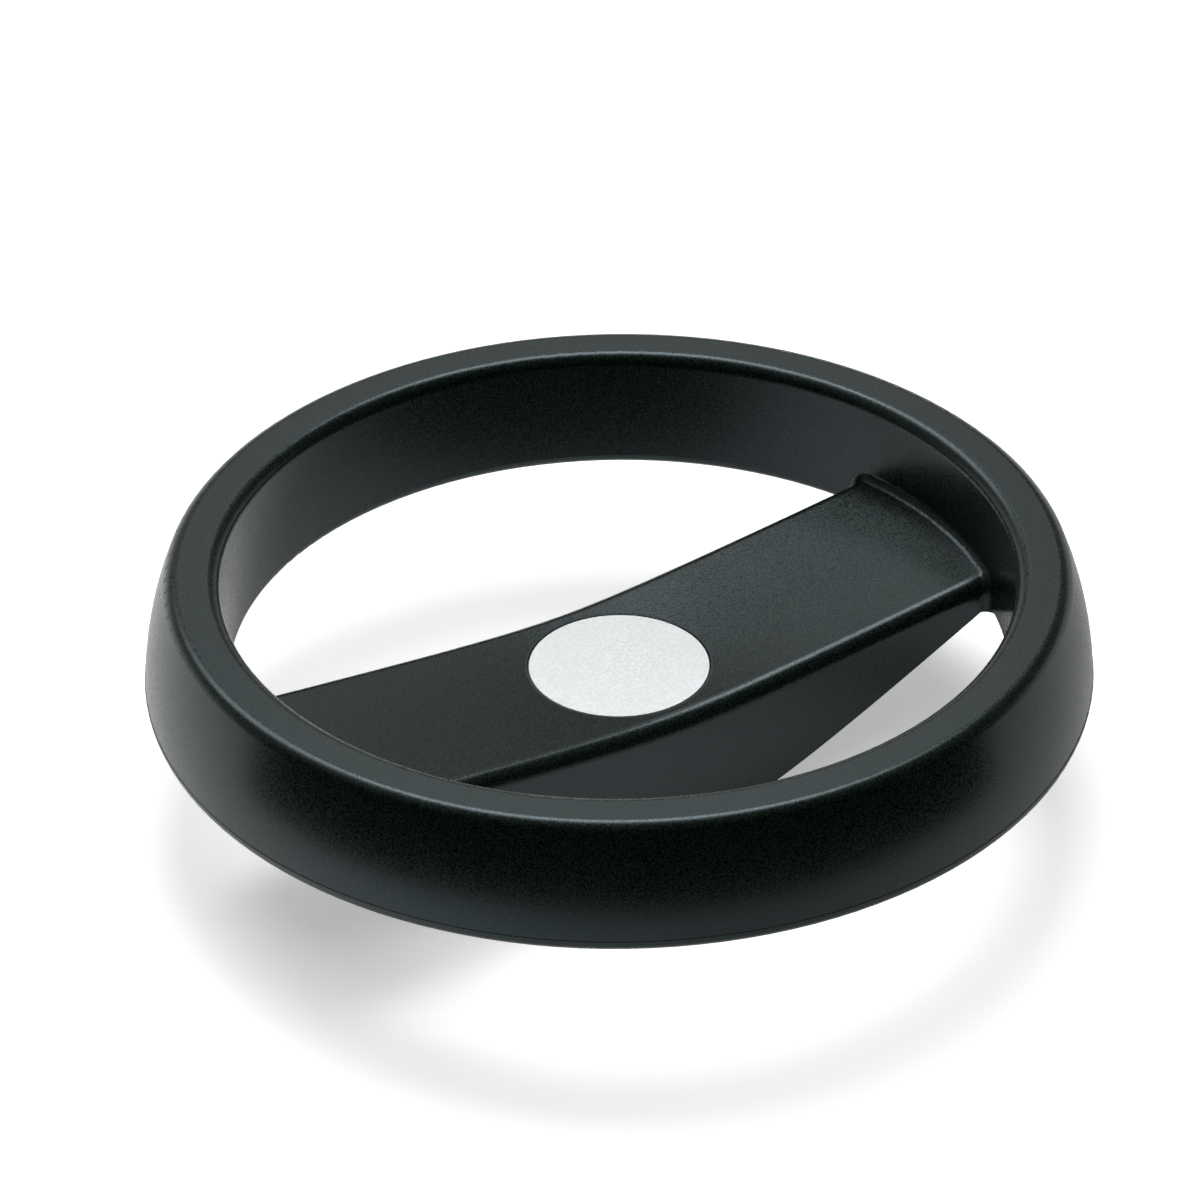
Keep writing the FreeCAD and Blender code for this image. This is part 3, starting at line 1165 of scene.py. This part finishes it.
    def surroundings(self) -> None:
        """A pale strip and a bright horizon behind, a window at the left, dim sides and a dark room."""
        world = bpy.data.worlds.new("studio")
        world.use_nodes = True
        bpy.context.scene.world = world
        ink = NodeInk(world.node_tree)
        direction = ink.add("ShaderNodeTexCoord").outputs["Generated"]
        axes = ink.add("ShaderNodeSeparateXYZ")
        ink.wire(direction, axes.inputs[0])
        height = axes.outputs["Z"]
        behind = ink.across(direction, self.aim(0.0))
        leftward = ink.across(direction, self.aim(math.radians(-90)))
        strip = ink.fold("MULTIPLY", ink.ramp(ink.maths("ABSOLUTE", leftward), self.strip_aside, 1.0, 0.0),
                         ink.ramp(behind, self.strip_behind, 0.0, 1.0),
                         ink.ramp(height, self.strip_head, 1.0, self.strip_above),
                         ink.ramp(height, self.strip_foot, 0.0, 1.0), self.strip_strength)
        near_window = ink.across(direction, self.aim(self.window_azimuth, self.window_elevation))
        outer, inner = self.window_angles
        window = ink.ramp(near_window, (math.cos(outer), math.cos(inner)), 0.0, self.window_strength)
        side = ink.maths("MULTIPLY", ink.ramp(behind, self.side_behind, 0.0, self.side_strength),
                         ink.ramp(leftward, self.side_leftward, *self.side_shares))
        horizon = ink.maths("MULTIPLY", ink.ramp(behind, self.horizon_behind, 0.0, self.horizon_strength),
                            ink.ramp(height, self.horizon_head, 1.0, 0.0))
        light = ink.add("ShaderNodeBackground")
        light.inputs["Color"].default_value = (1.0, 1.0, 1.0, 1.0)
        ink.wire(ink.fold("ADD", strip, side, window, horizon, self.room_strength), light.inputs["Strength"])
        output = ink.add("ShaderNodeOutputWorld")
        ink.wire(light.outputs[0], output.inputs["Surface"])

    def mirrored_shade_card(self) -> None:
        """A low curved black card in front, just under the lens's view, which only the wheel mirrors; it
        puts a painted shade into the wheel's gloss.
        """
        corners = []
        for i in range(self.card_steps + 1):
            swing = math.pi + self.card_spread * (2 * i / self.card_steps - 1)
            foot = self.aim(swing) * self.card_radius
            corners += [tuple(foot), (foot.x, foot.y, self.card_height)]
        faces = [(2 * i, 2 * i + 2, 2 * i + 3, 2 * i + 1) for i in range(self.card_steps)]
        card = self.sheet("mirrored_shade_card", corners, faces)
        material, _, shader = new_material("mirrored_shade_card")
        shader.inputs["Base Color"].default_value = (*self.card_black, 1.0)
        shader.inputs["Roughness"].default_value = 1.0
        shader.inputs["Specular IOR Level"].default_value = 0.0
        finished_with(card, material)
        # Painted shade: the card stays out of the lens, the spread light and the shadows, and shows only in
        # the wheel's gloss
        card.visible_camera = False
        card.visible_diffuse = False
        card.visible_shadow = False
        card.visible_transmission = False


@dataclass
class Viewpoint:
    """The camera, as the photograph's perspective gives it."""

    focal_pixels: float = 6196.0
    sensor_width: float = 36.0
    elevation: float = math.radians(33.46)
    roll: float = -0.01045
    distance: float = 1.040
    look_at: tuple[float, float, float] = (-0.00262, 0.00166, 0.03853)
    clip: Band = (0.05, 50.0)

    def place(self) -> None:
        """Make the scene's camera."""
        data = bpy.data.cameras.new("camera")
        data.sensor_width = self.sensor_width
        data.lens = self.focal_pixels / PHOTO_PIXELS * self.sensor_width
        data.clip_start, data.clip_end = self.clip
        camera = placed("camera", data)
        back = Vector((math.sin(LENS_AZIMUTH) * math.cos(self.elevation),
                       -math.cos(LENS_AZIMUTH) * math.cos(self.elevation),
                       math.sin(self.elevation)))
        right = Vector((math.cos(LENS_AZIMUTH), math.sin(LENS_AZIMUTH), 0.0))
        up = back.cross(right)
        tilted_right = right * math.cos(self.roll) + up * math.sin(self.roll)
        tilted_up = up * math.cos(self.roll) - right * math.sin(self.roll)
        turn = Matrix((tilted_right, tilted_up, back)).transposed()
        camera.matrix_world = Matrix.Translation(Vector(self.look_at) + back * self.distance) @ turn.to_4x4()
        bpy.context.scene.camera = camera


def report(piece: bpy.types.Object) -> None:
    """Log a piece's name and how many triangles it has."""
    triangles = sum(len(face.vertices) - 2 for face in piece.data.polygons)
    LOG.info("%s: %d triangles", piece.name, triangles)


def main() -> None:
    """Build the wheel piece by piece, then the studio round it."""
    logging.basicConfig(level=logging.INFO, format="%(message)s")
    bpy.context.scene.view_settings.view_transform = "Standard"
    Viewpoint().place()

    moulding = Moulding()
    shell = moulding.build()
    plastic = moulding.dress(shell)
    report(shell)
    for maker in (SeamBead(moulding.outline), EjectorMarks(moulding.outline)):
        piece = maker.build(plastic)
        maker.dress(piece)
        report(piece)
    cover = CoverDisc()
    disc = cover.build()
    cover.dress(disc)
    report(disc)
    report(HubBush().dress())

    studio = Studio()
    studio.table()
    studio.lamps()
    studio.surroundings()
    studio.mirrored_shade_card()


if __name__ == "__main__":
    main()
